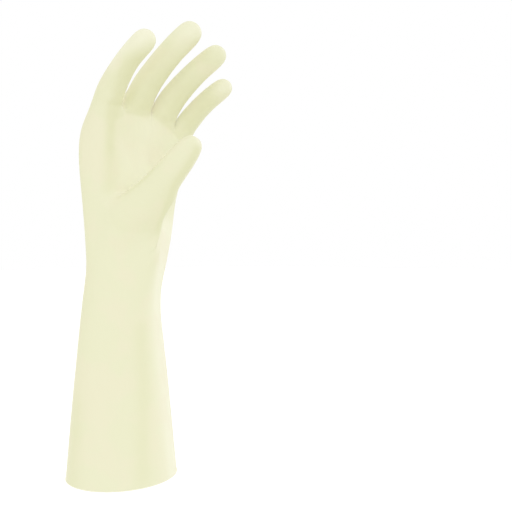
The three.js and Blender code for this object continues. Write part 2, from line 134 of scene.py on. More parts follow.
FINGER_RINGS = [  # bone, share of its length, shift, size; the first one counts from the fork
    ("fork", 0, 5, 0.96), (1, 0, -2, 1), (1, 0.5, 0, 0.98), (2, 0, 0, 1), (2, 0.45, 0, 1),
]
THUMB = dict(base=(-13.8, -3.4, 15.5), turn=19.3, rise=44.2, bends=(0, 8.8),
             bones=(40.8, 28.4, 23.5), radii=(17, 11.6, 9.4, 7.8))
THUMB_RINGS = [  # distance from the base, size across, size in height, shift up, upper side's lean
    (22, 1.18, 0.84, 2.4, 10),
    (33, 1.08, 0.9, 1.4, 8),
    (45, 1.02, 0.96, 0.5, 5),
    (58, 1, 1, 0, 0),
    (70, 1, 1, 0, 0),
    (78, 1, 1, 0, 0),
]
THUMB_ROOT = 40   # rings nearer than this to the base take part in the soft forms of the palm
ROOT_LIFT = 1.5   # how far the first ring of the thumb stays in front of the palm
FORK_BACK, FORK_SIDE = 7, 4   # how much lower the fork is on the back and at the sides
TIP_RINGS = [(0.95, 0.97), (0.33, 0.74)]   # distance back from the end and size, in tip radii
for finger in FINGERS:
    print(finger["name"], "finger is", round(sum(finger["bones"]), 1), "mm long")

# %% [markdown]
# ## Following a bent finger
# A worn glove's finger bends over a centimetre or so at each joint, not at a point. So each
# finger is a line that turns smoothly through its three bends, and every ring of the stall is
# placed by asking where that line is after so many millimetres, and which way it points.

# %% Line of a finger
FINGER_TURNS, THUMB_TURNS = (30, 20, 18), (18, 16)   # over how many millimetres each bend runs
STEP = 0.5                                           # and how finely a line is followed


def smooth(t):
    t = min(max(t, 0.0), 1.0)
    return t * t * (3 - 2 * t)


def turning(bends, joints, lengths):
    """The angle that a line has turned through, as a function of the distance from its start."""
    def turn(s):
        return sum(radians(bend) * smooth((s - joint) / length + 0.5)
                   for bend, joint, length in zip(bends, joints, lengths))
    return turn


def follow(start, ahead, inward, turn, distance):
    """Centre, direction and inner side of a bending line, a distance from its start."""
    centre = np.array(start, float)
    count = max(1, round(abs(distance) / STEP))
    step = distance / count
    for k in range(count):
        angle = turn((k + 0.5) * step)
        centre = centre + (ahead * cos(angle) + inward * sin(angle)) * step
    angle = turn(distance)
    tangent = ahead * cos(angle) + inward * sin(angle)
    return centre, tangent, inward * cos(angle) - ahead * sin(angle)


def finger_frame(finger, distance):
    """Centre, little finger side and palm side of a finger, a distance past its knuckle."""
    arch, lean = radians(finger["arch"]), radians(finger["spread"])
    palm_side = np.array([sin(arch), -cos(arch), 0.0])
    side = np.array([cos(arch), sin(arch), 0.0])
    up = np.array([0.0, 0.0, 1.0])
    ahead = up * cos(lean) + side * sin(lean)
    across = side * cos(lean) - up * sin(lean)
    first, second, _ = finger["bones"]
    turn = turning(finger["bends"], (0, first, first + second), FINGER_TURNS)
    centre, _, inner = follow(finger["knuckle"], ahead, palm_side, turn, distance)
    return centre, across, inner


tip = finger_frame(FINGERS[1], sum(FINGERS[1]["bones"]))[0]
print("end of the middle finger at", tip.round(1), "mm")

# %% [markdown]
# The thumb is the same idea with another start. It leaves the wrist end of the palm, points
# forward and up, and bends a little towards the fingertips.

# %% Line of the thumb
THUMB_INWARD = (0.5, 0.3, 0.6)   # the way it bends


def unit(v):
    return v / np.linalg.norm(v)


def thumb_frame(_, distance):
    """Centre, little finger side and upper side of the thumb, a distance from its base."""
    turned, rise = radians(THUMB["turn"]), radians(THUMB["rise"])
    ahead = np.array([sin(turned) * cos(rise), -cos(turned) * cos(rise), sin(rise)])
    inward = np.array(THUMB_INWARD)
    inward = unit(inward - ahead * inward.dot(ahead))
    first, second, _ = THUMB["bones"]
    turn = turning(THUMB["bends"], (first, first + second), THUMB_TURNS)
    centre, tangent, _ = follow(THUMB["base"], ahead, inward, turn, distance)
    across = np.array([1.0, 0.0, 0.0])
    across = unit(across - tangent * across.dot(tangent))
    return centre, across, np.cross(tangent, across)


print("end of the thumb at", thumb_frame(None, sum(THUMB["bones"]))[0].round(1), "mm")

# %% [markdown]
# ## Rings of control points
# The skin is a subdivision surface: a coarse cage of quads that Blender rounds off. It could
# also be sculpted or joined from tubes with booleans, but a cage of rings keeps the faces
# flowing round the fingers and through the forks, which is what makes a glove look dipped and
# not assembled. The rounded surface runs inside its cage, so each ring is drawn a little larger.

# %% Rings
AROUND, HALF = 28, 14            # points round the hand, and round its palm side
FINGER_POINTS, THUMB_POINTS = 10, 12
FLAT_SIDE = radians(213)         # where round its ring the thumb has the middle of its flat side
THUMB_SQUARE = 0.04              # and how flat that side is
TIP_LENGTH = 4                   # the last radius is taken this far before the end of the bones


def radius_at(digit, distance):
    first, second, third = digit["bones"]
    places = [0, first, first + second, first + second + third - TIP_LENGTH]
    return float(np.interp(distance, places, digit["radii"]))


def ring_points(place, radius, count, across=1.0, high=1.0, shift=0.0, lean=0.0, square=0.0):
    centre, u, v = place
    ahead = np.cross(u, v)
    points = []
    for k in range(count):
        a = 2 * pi * k / count
        r = radius * 3 / (2 + cos(2 * pi / count)) * (1 - square * cos(4 * (a - FLAT_SIDE)))
        points.append(centre + u * r * across * cos(a) + v * (shift + r * high * sin(a))
                      + ahead * lean * max(0, sin(a)))
    return points


print("radius of the index finger at its middle joint:", radius_at(FINGERS[0], 38.3), "mm")

# %% [markdown]
# Every control point carries two numbers beside its place: how far along its finger it lies,
# and how much it faces the palm. The fine creases of the fingers and the painted shade on their
# palm side are laid by them later, so both follow each finger round its bend. The sleeve and the
# back of the hand have neither.

# %% The cage
class Cage:
    """Control points in millimetres, with their finger distance and palm share, and the quads."""

    def __init__(self):
        self.points, self.along, self.palmar, self.quads = [], [], [], []

    def point(self, place, along=0.0, palmar=0.0):
        self.points.append(place)
        self.along.append(along)
        self.palmar.append(palmar)
        return len(self.points) - 1

    def ring(self, places, along=0.0, palmar=0.0):
        shares = palmar if isinstance(palmar, list) else [palmar] * len(places)
        return [self.point(p, along, share) for p, share in zip(places, shares)]

    def tube(self, lower, upper, clockwise):
        n = len(lower)
        for k in range(n):
            m = (k + 1) % n
            if clockwise:
                self.quads.append((lower[m], lower[k], upper[k], upper[m]))
            else:
                self.quads.append((lower[k], lower[m], upper[m], upper[k]))


cage = Cage()
print("empty cage ready")

# %% [markdown]
# ## Palm and sleeve
# Sleeve sections are ovals. A knuckle section is drawn across all four fingers at once, so
# that neighbours share the points of the groove between them. The sections of the palm lie
# between wrist and knuckles. On the real hand soft mounds lie below the thumb, at the heel and
# under the index finger, with a hollow between them. Each is a bell-shaped push on the front
# points, so it has a place, a width and a height, and neighbours run into each other softly.

# %% Sections of sleeve, knuckles and forks
def sleeve_section(height, cx, cy, wide, deep, rise):
    angles = [pi + 2 * pi * k / AROUND for k in range(AROUND)]
    return np.array([(cx + wide * cos(a), cy + deep * sin(a), height - rise * deep * sin(a))
                     for a in angles])


def hand_section(front_at, back_at, side_at, front_depth, back_depth, half_width, edge):
    section, counts = np.zeros((AROUND, 3)), np.zeros(AROUND)
    for i, finger in enumerate(FINGERS):
        front, u_front, v_front = finger_frame(finger, front_at)
        back, u_back, v_back = finger_frame(finger, back_at)
        for j, place in enumerate((-1, -1 / 3, 1 / 3, 1)):
            k, x = 1 + 3 * i + j, place * half_width(finger)
            deep_front = front_depth(finger) * FRONT_SHARES[k - 1]
            deep_back = back_depth(finger) * BACK_SHARES[k - 1]
            section[k] += front + u_front * x + v_front * deep_front
            section[-k] += back + u_back * x - v_back * deep_back
            counts[[k, -k]] += 1
    section /= np.maximum(counts, 1)[:, None]
    for k, finger, sign in ((0, FINGERS[0], -1), (HALF, FINGERS[3], 1)):
        centre, u, _ = finger_frame(finger, side_at)
        section[k] = centre + u * sign * (half_width(finger) + edge)
    return section


def fork_section():
    section, counts, sides = np.zeros((AROUND, 3)), np.zeros(AROUND), []
    for i, finger in enumerate(FINGERS):
        radius = radius_at(finger, finger["web"])
        front, back, side = (
            ring_points(finger_frame(finger, finger["web"] - lower), radius, FINGER_POINTS)
            for lower in (finger["pad"], FORK_BACK, FORK_SIDE))
        for j in range(4):
            k = 1 + 3 * i + j
            section[k] += front[4 - j]
            section[-k] += back[6 + j]
            counts[[k, -k]] += 1
        sides.append((side[5], side[0]))
    section /= np.maximum(counts, 1)[:, None]
    section[0], section[HALF] = sides[0][0], sides[3][1]
    forks = [(sides[i][1] + sides[i + 1][0]) / 2 for i in range(3)]
    return section, forks


wrist = sleeve_section(*SLEEVE[-1])
knuckles = hand_section(0, 0, 0, lambda f: f["front"], lambda f: f["back"], lambda f: f["half"],
                        KNUCKLE_SIDE)
beyond = hand_section(BEYOND_FRONT, BEYOND_BACK, BEYOND_EDGE,
                      lambda f: radius_at(f, BEYOND_BACK) * f["swell"],
                      lambda f: radius_at(f, BEYOND_BACK),
                      lambda f: radius_at(f, BEYOND_BACK) * BEYOND_WIDTH, BEYOND_SIDE)
fork, forks = fork_section()
print("hand is", round(np.ptp(knuckles[:, 0]), 1), "mm wide in the cage at the knuckles")

# %% Sections of the palm
def palm_section(share, slide, thumb_side, other_side):
    """Section between wrist and knuckles, its front slid away from the thumb."""
    plain = wrist * (1 - share) + knuckles * share
    whole = np.arange(HALF + 1)
    places = np.interp(whole, [0, 1, 5, HALF], [0, 1 + 0.2 * slide, 5 + slide, HALF])
    section = plain.copy()
    for axis in range(3):
        section[:HALF + 1, axis] = np.interp(places, whole, plain[:HALF + 1, axis])
    for k, out in ((-1, 0.5 * thumb_side), (0, thumb_side), (1, 0.5 * thumb_side)):
        section[k, 0] -= out
    for k, out in ((HALF - 2, 0.5), (HALF - 1, 1), (HALF, 1), (HALF + 1, 0.5)):
        section[k, 0] += out * other_side
    return section


def with_mounds(points, fades):
    """Points moved out of the palm by its soft forms, each by its own share."""
    moved = []
    for (x, y, z), fade in zip(points, fades):
        heights = (height * np.exp(-((x - mx) / width) ** 2 - ((z - mz) / length) ** 2)
                   for mx, mz, width, length, height in MOUNDS)
        moved.append(np.array([x, y - fade * sum(heights), z]))
    return moved


palm_fades = [sqrt(sin(pi * k / HALF)) if k < HALF else 0.0 for k in range(AROUND)]
palm = [with_mounds(palm_section(*row), palm_fades) for row in PALM]
print("depth of the palm in its middle:", round(np.ptp([p[1] for p in palm[1]]), 1), "mm")

# %% [markdown]
# Now the sections become rings of the cage. Four columns by two rows of quads stay open on the
# palm side: the thumb grows out of that opening, so its root blends into the palm in one skin.

# %% Hand without its fingers
THUMB_COLUMNS, THUMB_ROW = (1, 2, 3, 4), len(SLEEVE)
FORK_ALONG, WEB_ALONG = 23.0, 19.0   # finger distance of the fork row and of the webs between
BEYOND_PALMAR, WEB_PALMAR, THUMB_PALMAR = 0.5, 0.3, 0.25   # how much they face the palm
front_share = [max(0.0, sin(pi * k / HALF)) if k < HALF else 0.0 for k in range(AROUND)]

rows = [cage.ring(with_mounds(sleeve_section(*row), palm_fades)) for row in SLEEVE]
rows += [cage.ring(section) for section in palm]
rows.append(cage.ring(with_mounds(knuckles, palm_fades)))
rows.append(cage.ring(beyond, BEYOND_FRONT, [BEYOND_PALMAR * s for s in front_share]))
rows.append(cage.ring(fork, FORK_ALONG, front_share))
fork_ids = [cage.point(p, WEB_ALONG, WEB_PALMAR) for p in forks]

for r in range(len(rows) - 1):
    for k in range(AROUND):
        m = (k + 1) % AROUND
        if r not in (THUMB_ROW, THUMB_ROW + 1) or k not in THUMB_COLUMNS:
            cage.quads.append((rows[r][k], rows[r][m], rows[r + 1][m], rows[r + 1][k]))
print("points:", len(cage.points), " quads:", len(cage.quads))

# %% [markdown]
# ## Stalls and tips
# A stall is a row of rings along its line, closed by a rounded tip. The tip ends in a small
# grid of quads and not in a fan, because a fan of triangles pinches when it is subdivided.
# The thumb leaves the palm at a shallow angle, so its first ring could sink below the opening
# that it grows out of, and the skin would fold through itself. Every point of that ring is
# therefore kept a little in front of the point of the palm that it is joined to.

# %% Tips
TIP_TOP = 0.06                  # how far the middle of a tip stands out, in tip radii
TIP_REACH = {2: 0.24, 3: 0.38}  # half width of its middle row, by the number of points in the row


def add_tip(last, digit, frame_at, clockwise):
    n, radius, length = len(last), digit["radii"][3], sum(digit["bones"])
    for back, size in TIP_RINGS:
        places = ring_points(frame_at(digit, length - radius * back), radius * size, n)
        ring = cage.ring(places, length, 0.0)
        cage.tube(last, ring, clockwise)
        last = ring
    centre, u, _ = frame_at(digit, length + radius * TIP_TOP)
    half, inner = n // 2, n // 2 - 3
    reach = radius * TIP_REACH[inner]
    middle = [cage.point(centre + u * x, length) for x in np.linspace(-reach, reach, inner)]
    middle = [last[half]] + middle + [last[0]]
    for j in range(half - 2):
        front = (middle[j], last[half - 1 - j], last[half - 2 - j], middle[j + 1])
        back = (middle[j], middle[j + 1], last[(half + 2 + j) % n], last[half + 1 + j])
        cage.quads += [front, back] if clockwise else [front[::-1], back[::-1]]


print("a tip has", len(TIP_RINGS), "rings and a small grid")

# %% Fingers and thumb
web = rows[-1]
palm_shares = [0.3, 0.7, 1, 1, 0.7, 0.3, 0, 0, 0, 0]
for i, finger in enumerate(FINGERS):
    far_side = fork_ids[i] if i < 3 else web[HALF]
    thumb_side = fork_ids[i - 1] if i > 0 else web[0]
    ring = [far_side] + [web[4 + 3 * i - j] for j in range(4)]
    ring += [thumb_side] + [web[AROUND - 1 - 3 * i - j] for j in range(4)]
    starts = [0, finger["bones"][0], finger["bones"][0] + finger["bones"][1]]
    for bone, share, shift, size in FINGER_RINGS:
        s = finger["web"] if bone == "fork" else starts[bone] + share * finger["bones"][bone]
        s += shift
        places = ring_points(finger_frame(finger, s), radius_at(finger, s) * size, FINGER_POINTS)
        upper = cage.ring(places, s, palm_shares)
        cage.tube(ring, upper, True)
        ring = upper
    add_tip(ring, finger, finger_frame, True)

low, mid, high = rows[THUMB_ROW:THUMB_ROW + 3]
ring = [mid[5]] + high[5:0:-1] + [mid[1]] + low[1:6]
lower_sides = [(1 - sin(2 * pi * k / THUMB_POINTS)) / 2 for k in range(THUMB_POINTS)]
for s, across, tall, shift, lean in THUMB_RINGS:
    places = ring_points(thumb_frame(None, s), radius_at(THUMB, s), THUMB_POINTS,
                         across, tall, shift, lean, THUMB_SQUARE)
    if s < THUMB_ROOT:
        places = with_mounds(places, lower_sides)
    if s == THUMB_RINGS[0][0]:
        places = [np.array([x, min(y, cage.points[k][1] - ROOT_LIFT), z])
                  for (x, y, z), k in zip(places, ring)]
    upper = cage.ring(places, s, THUMB_PALMAR)
    cage.tube(ring, upper, False)
    ring = upper
add_tip(ring, THUMB, thumb_frame, False)
print("finished cage:", len(cage.points), "points,", len(cage.quads), "quads")

# %% [markdown]
# ## From cage to skin
# The Subdivision Surface modifier rounds the cage. The line where the palm ends and the fingers
# start is firmer on the real glove, so the edges along it get a crease weight of about a half:
# the modifier then rounds them less. The result is taken as a plain mesh, because the next
# steps move single points. Points of the cage that no quad uses are left out first.

# %% Smooth skin
LEVELS = 3
FIRMNESS = 0.55   # crease weight of the line where the fingers start


def plain_copy(obj, name):
    """The object with its modifiers worked into a new mesh."""
    seen = obj.evaluated_get(bpy.context.evaluated_depsgraph_get())
    made = add_object(name, bpy.data.meshes.new_from_object(seen))
    old_mesh = obj.data
    bpy.data.objects.remove(obj)
    bpy.data.meshes.remove(old_mesh)
    return made


used = sorted({k for quad in cage.quads for k in quad})
number = {old: new for new, old in enumerate(used)}
sharp = {number[k] for k in rows[-1][4:HALF + 1]}
mesh = bpy.data.meshes.new("cage")
mesh.from_pydata([tuple(cage.points[k] * MM) for k in used], [],
                 [[number[k] for k in quad] for quad in cage.quads])
for name, values in (("along", cage.along), ("palmar", cage.palmar)):
    field = mesh.attributes.new(name, "FLOAT", "POINT")
    field.data.foreach_set("value", [values[k] for k in used])
crease = mesh.attributes.new("crease_edge", "FLOAT", "EDGE")
crease.data.foreach_set("value", [FIRMNESS * (set(e.vertices) <= sharp) for e in mesh.edges])
body = add_object("cage", mesh)
rounding = body.modifiers.new("rounding", "SUBSURF")
rounding.levels = rounding.render_levels = LEVELS
body = plain_copy(body, "skin")
print("smooth skin:", len(body.data.vertices), "points")

# %% [markdown]
# ## Ball of the thumb
# The ball of the thumb is a firm round form that hides a strip of the palm behind it. Drawing
# the rings of the cage further out there would fold the skin, because thumb and palm meet at a
# sharp angle. A soft push on the finished skin can't fold it: all points near a line along the
# ball move the same way, by an amount that falls off over about a centimetre.

# %% Reading and moving points
def read(mesh, name):
    values = np.zeros(len(mesh.vertices))
    mesh.attributes[name].data.foreach_get("value", values)
    return values


def points_of(mesh):
    places = np.zeros(len(mesh.vertices) * 3)
    mesh.vertices.foreach_get("co", places)
    return places.reshape(-1, 3)


def normals_of(mesh):
    normals = np.zeros(len(mesh.vertices) * 3)
    mesh.vertex_normals.foreach_get("vector", normals)
    return normals.reshape(-1, 3)


def move_points(mesh, places):
    mesh.vertices.foreach_set("co", places.ravel())
    mesh.update()


print("skin has", len(points_of(body.data)), "points")

# %% Fuller ball of the thumb
BALL_LINE = [(1, -43, 41), (0, -38, 36), (-1, -32, 27), (-2, -29, 15)]   # from thumb to heel
BALL_OUT, BALL_WIDTH = 4.5, 9.0   # how far the skin moves, and half width of the moved strip


def away_from(places, line):
    """Distance of every place from a line through some points, in millimetres."""
    nearest = np.full(len(places), np.inf)
    for a, b in zip(np.array(line[:-1], float), np.array(line[1:], float)):
        share = np.clip((places - a) @ (b - a) / ((b - a) @ (b - a)), 0, 1)
        foot = a + share[:, None] * (b - a)
        nearest = np.minimum(nearest, np.linalg.norm(places - foot, axis=1))
    return nearest


places = points_of(body.data) / MM
push = BALL_OUT * np.exp(-(away_from(places, BALL_LINE) / BALL_WIDTH) ** 2)
move_points(body.data, (places + push[:, None] * view_right) * MM)
print("ball of the thumb moved out by up to", push.max().round(2), "mm")

# %% [markdown]
# ## Fine forms
# The porcelain form leaves shallow marks in the skin: a crease where each finger starts and
# softer ones at its two joints. They are narrower than the quads of the cage, so the points of
# the finished skin are moved in along their normals. Depths are a few tenths of a millimetre,
# as on the real glove; deeper ones would look like a worn leather glove.

# %% Creases
CREASES = [  # distance past the knuckle as a bone number and a share, depth and half width in mm
    (0, 0.62, 0.45, 2.2), (1, 0.0, 0.18, 1.8), (2, 0.0, 0.12, 1.5),
]

places, normals = points_of(body.data), normals_of(body.data)
along, palmar = read(body.data, "along"), read(body.data, "palmar")
depth = np.zeros(len(places))
for bone, share, deep, width in CREASES:
    bones = FINGERS[1]["bones"]
    at = sum(bones[:bone]) + share * bones[bone]
    depth += deep * np.exp(-((along - at) / width) ** 2) * palmar ** 2
move_points(body.data, places - normals * (depth * MM)[:, None])
print("deepest crease:", round(depth.max(), 2), "mm")

# %% [markdown]
# ## Wall
# Dipped latex is about 0.2 mm thick. The Solidify modifier gives the skin an inner side; it is
# drawn at 0.35 mm so that the edge of the sleeve still shows a line of its own. Smooth shading
# would blend the narrow cut face with the outer side and draw a grey shadow above the edge, so
# the edges of the cut face are marked sharp.

# %% Inner side
WALL = 0.35 * MM
HEM = SLEEVE[0][0] * MM
HEM_ZONE, FACING_DOWN = 10 * MM, -0.8   # faces of the cut edge lie this near the hem and look down

wall = body.modifiers.new("wall", "SOLIDIFY")
wall.thickness, wall.offset, wall.use_even_offset = WALL, -1.0, True
hem_source = body.data.copy()
glove = plain_copy(body, "glove_skin")
cut_faces = 0
for face in glove.data.polygons:
    face.use_smooth = True
    if face.normal.z < FACING_DOWN and face.center.z < HEM + HEM_ZONE:
        cut_faces += 1
        for k in face.loop_indices:
            glove.data.edges[glove.data.loops[k].edge_index].use_edge_sharp = True
print("skin:", len(glove.data.polygons) * 2, "triangles,", cut_faces, "faces on its cut edge")

# %% [markdown]
# ## Painted shade and light
# The colour of the skin carries painted shade and painted light. It is deeper where shade falls:
# on the palm side of the fingers, along the groove below the index finger, on the outer and upper
# side of the thumb and in a band down the front of the sleeve. It is paler where light falls or
# grazes: at the fingertips, the middle of the palm and the far side of heel and sleeve. A texture
# could be painted, but each streak follows a line on the skin, so it is written down as that line,
# and every point of the skin asks how near it lies. The answer is kept on the mesh as one number
# of painted shade, which the material turns into colour.

# %% Streaks
SHADING_STREAKS = {  # depth of painted shade (painted light below 0), half width in mm, and points of the line
    "groove below the index finger": (1.0, 4, [(-24, -22, 102), (-23, -19, 90), (-23, -18, 78)]),
    "wrist end of the groove": (0.6, 4.5, [(-23, -18, 72), (-22, -15, 53)]),
    "inner side of the index finger": (0.6, 4.5, [
        (-18, -52, 127), (-27, -41, 125), (-26, -36, 120)]),
    "root of the index finger": (-0.6, 4, [(-28, -24, 108), (-28, -22, 103)]),
    "root of the middle finger": (0.8, 5, [(-9, -21, 109), (-6, -21, 108)]),
    "root of the little finger": (-0.8, 5, [(27, -23, 98), (24, -23, 99)]),
    "outer side of the thumb": (1.5, 3.5, [
        (8, -66, 73), (3, -57, 58), (2, -52, 51), (2, -48, 45), (3, -42, 37), (3, -35, 28),
        (4, -30, 18)]),
    "upper side of the thumb": (0.5, 2.2, [
        (-17, -26, 48), (-14, -32, 52), (-11, -39, 57), (-8, -43, 62)]),
    "wrist end of the thumb": (-0.2, 5, [(-5, -32, 26), (-9, -28, 21)]),
    "middle of the palm": (-0.6, 13, [(7, -18, 91), (-4, -16, 72), (-8, -17, 56)]),
    "front of the sleeve": (0.7, 6.5, [(-3, -24, -38), (-2, -25, -71), (-6, -29, -133)]),
    "thumb side of the sleeve": (0.6, 8, [(-35, 2, -87), (-39, 3, -133)]),
    "far side of heel and sleeve": (-1.2, 9.5, [
        (23, -17, 26), (14, -20, -1), (14, -17, -27), (19, -20, -87), (23, -23, -137)]),
    "tip of the index finger": (-1.3, 7, [(-27, -57, 139), (-31, -45, 135), (-33, -33, 127)]),
    "tip of the middle finger": (-0.6, 7, [(0, -70, 143), (-2, -64, 141)]),
    "tip of the ring finger": (0.7, 6, [(15, -75, 131), (14, -68, 130)]),
    "tip of the little finger": (-0.3, 7, [(30, -65, 116), (29, -60, 114)]),
}
RUN_OUT = {"outer side of the thumb": 15}  # over how many millimetres a streak fades to its end
FINGER_SHADE = 1.0                          # depth of painted shade on the palm side of the fingers
FINGER_MIDDLES = (-20, -6, 12, 27)         # x at the root of each finger, index finger first
FINGER_STARTS = (18.5, 22.5, 25.0, 21.5)   # where its painted shade starts, past the knuckle
START_WIDTH = 1.5                          # over how many millimetres it starts
FADE_AT, FADE_TO = (25, 60, 80), (1, 0.8, 0)   # distances past the knuckle, what is left there


# painted shade and painted light of every point of the skin, from the streaks and the fingers
def painted_shading_of(mesh):
    places = points_of(mesh) / MM
    painted_shading = np.zeros(len(places))
    for name, (deep, width, line) in SHADING_STREAKS.items():
        streak = deep * np.exp(-(away_from(places, line) / width) ** 2)
        if name in RUN_OUT:
            streak *= np.clip(np.linalg.norm(places - line[-1], axis=1) / RUN_OUT[name], 0, 1)
        painted_shading += streak
    along = read(mesh, "along")
    starts = np.interp(places[:, 0], FINGER_MIDDLES, FINGER_STARTS)
    inner = np.clip((along - starts) / START_WIDTH, 0, 1) * np.interp(along, FADE_AT, FADE_TO)
    # painted shade on the palm side of the fingers, which face down
    return painted_shading + FINGER_SHADE * inner * read(mesh, "palmar")


def lay_painted_shading(mesh, values):
    mesh.attributes.new("painted_shading", "FLOAT", "POINT").data.foreach_set("value", values)


# the painted shade and light are kept on the skin as one number
skin_shading = painted_shading_of(glove.data)
lay_painted_shading(glove.data, skin_shading)
print("film from", skin_shading.min().round(2), "to", skin_shading.max().round(2))

# %% [markdown]
# ## Rolled edge
# When the glove is stripped from its form, the end of the sleeve is rolled up into a thin bead,
# which keeps it from tearing and slipping. A bead follows a path, so Geometry Nodes fit it: the
# open edge of the skin becomes a curve, and a small circle is swept along it. It could also be
# modelled into the skin, but as a tree its radius stays one number that can be changed.

# %% Path of the edge
counts = {}
for face in hem_source.polygons:
    for key in face.edge_keys:
        counts[key] = counts.get(key, 0) + 1
open_edges = [key for key, count in counts.items() if count == 1]
hem_points = sorted({k for key in open_edges for k in key})
order = {old: new for new, old in enumerate(hem_points)}
path = bpy.data.meshes.new("edge_path")
path.from_pydata([hem_source.vertices[k].co[:] for k in hem_points],
                 [(order[a], order[b]) for a, b in open_edges], [])
print("edge of the sleeve:", len(open_edges), "segments")

# %% [markdown]
# ## Latex
# Natural rubber latex, dipped and powdered: cream, almost opaque in the light of a bright room,
# and matt with a faint soft sheen where light grazes it. Its IOR is about 1.52. The number of
# painted shade picks the cream from three colours, lit, middle and shaded, and a slow cloud of a
# few centimetres keeps the streaks from looking drawn. Warmer patches of one or two centimetres
# lie over it where the painted shade isn't deep. Up close the powder gives a fine grain, and the
# latex itself waves softly over a centimetre. Both are bumps and not shapes, since they are far
# thinner than the skin.

# %% Helpers for materials
def linear(hex_colour):
    """An sRGB hex colour as the linear values that shaders use."""
    def channel(v):
        v /= 255
        return v / 12.92 if v <= 0.04045 else ((v + 0.055) / 1.055) ** 2.4
    return tuple(channel(int(hex_colour[k:k + 2], 16)) for k in (1, 3, 5)) + (1.0,)


def add_node(tree, kind, inputs=(), **settings):
    """One node with its settings; an input's value is a number, a colour or another socket."""
    node = tree.nodes.new(kind)
    for key, value in settings.items():
        setattr(node, key, value)
    for key, value in dict(inputs).items():
        if isinstance(value, bpy.types.NodeSocket):
            tree.links.new(value, node.inputs[key])
        else:
            node.inputs[key].default_value = value
    return node


print("middle grey in linear light:", round(linear("#808080")[0], 3))

# %% Dipped latex
# cream, with a painted shaded copy and a painted lit copy of it
LATEX, SHADED_LATEX, LIT_LATEX = "#e4e4c2", "#dfdfb9", "#ebeace"
WARM_LATEX, WARM_SHARE = "#e9e2c6", 0.36
CLOUD, PATCH, WAVE = 36 * MM, 22 * MM, 11 * MM   # spacing of clouds, warm patches and soft waves
GRAIN = 0.6 * MM      # real powder is finer than 0.1 mm; drawn this coarse, it just shows
EVEN_DEPTH, SHADING_SHARE, CLOUD_SHARE = 0.45, 0.5, 0.1   # what adds up to the depth of colour, painted shade and light included


def make_latex():
    latex = bpy.data.materials.new("dipped_natural_latex")
    latex.use_nodes = True
    tree = latex.node_tree
    tree.nodes.clear()
    place = add_node(tree, "ShaderNodeTexCoord").outputs["Object"]

    def noise(spacing, detail=2.0, roughness=0.5):
        return add_node(tree, "ShaderNodeTexNoise", {
            "Vector": place, "Scale": 1 / spacing,
            "Detail": detail, "Roughness": roughness}).outputs["Fac"]

    # the painted shade and light laid on the skin pick the cream
    painted_shading = add_node(tree, "ShaderNodeAttribute", attribute_name="painted_shading").outputs["Fac"]
    depth = add_node(tree, "ShaderNodeMath", {
        0: painted_shading, 1: SHADING_SHARE, 2: EVEN_DEPTH}, operation="MULTIPLY_ADD")
    depth = add_node(tree, "ShaderNodeMath", {
        0: noise(CLOUD), 1: CLOUD_SHARE, 2: depth.outputs[0]}, operation="MULTIPLY_ADD").outputs[0]
    cream = add_node(tree, "ShaderNodeValToRGB", {"Fac": depth})
    cream.color_ramp.elements[0].color = linear(LIT_LATEX)
    cream.color_ramp.elements[1].color = linear(SHADED_LATEX)
    cream.color_ramp.elements.new(0.5).color = linear(LATEX)

    share = add_node(tree, "ShaderNodeMapRange", {
        "Value": depth, "From Min": 0.55, "From Max": 0.95, "To Min": WARM_SHARE, "To Max": 0.0})
    warm = add_node(tree, "ShaderNodeMapRange", {
        "Value": noise(PATCH), "From Min": 0.45, "From Max": 0.6,
        "To Max": share.outputs["Result"]})
    tone = add_node(tree, "ShaderNodeMix", {
        "Factor": warm.outputs["Result"], 6: cream.outputs["Color"], 7: linear(WARM_LATEX)},
        data_type="RGBA")

    powder = add_node(tree, "ShaderNodeBump", {
        "Strength": 0.25, "Distance": 0.03 * MM, "Height": noise(GRAIN)})
    waves = add_node(tree, "ShaderNodeBump", {
        "Strength": 0.3, "Distance": 0.4 * MM, "Height": noise(WAVE, 3.0, 0.55),
        "Normal": powder.outputs["Normal"]})
    skin = add_node(tree, "ShaderNodeBsdfPrincipled", {
        "Base Color": tone.outputs[2], "Roughness": 0.5, "IOR": 1.52,
        "Sheen Weight": 0.08, "Sheen Roughness": 0.4, "Normal": waves.outputs["Normal"]})
    add_node(tree, "ShaderNodeOutputMaterial", {"Surface": skin.outputs["BSDF"]})
    return latex


latex = make_latex()
glove.data.materials.append(latex)
print("material:", latex.name, "with", len(latex.node_tree.nodes), "nodes")

# %% [markdown]
# The bead takes the same latex. Its tree has two inputs, the radius of the roll and the number
# of points round it, and ends in Realize Instances and Set Material so that the result is a
# plain mesh with its own material.

# %% Rolled edge by Geometry Nodes
ROLL_RADIUS = 0.3 * MM
ROLL_POINTS = 12
EDGE_LIGHT = -1.0   # painted light: the roll is made paler against the shade on its lower side


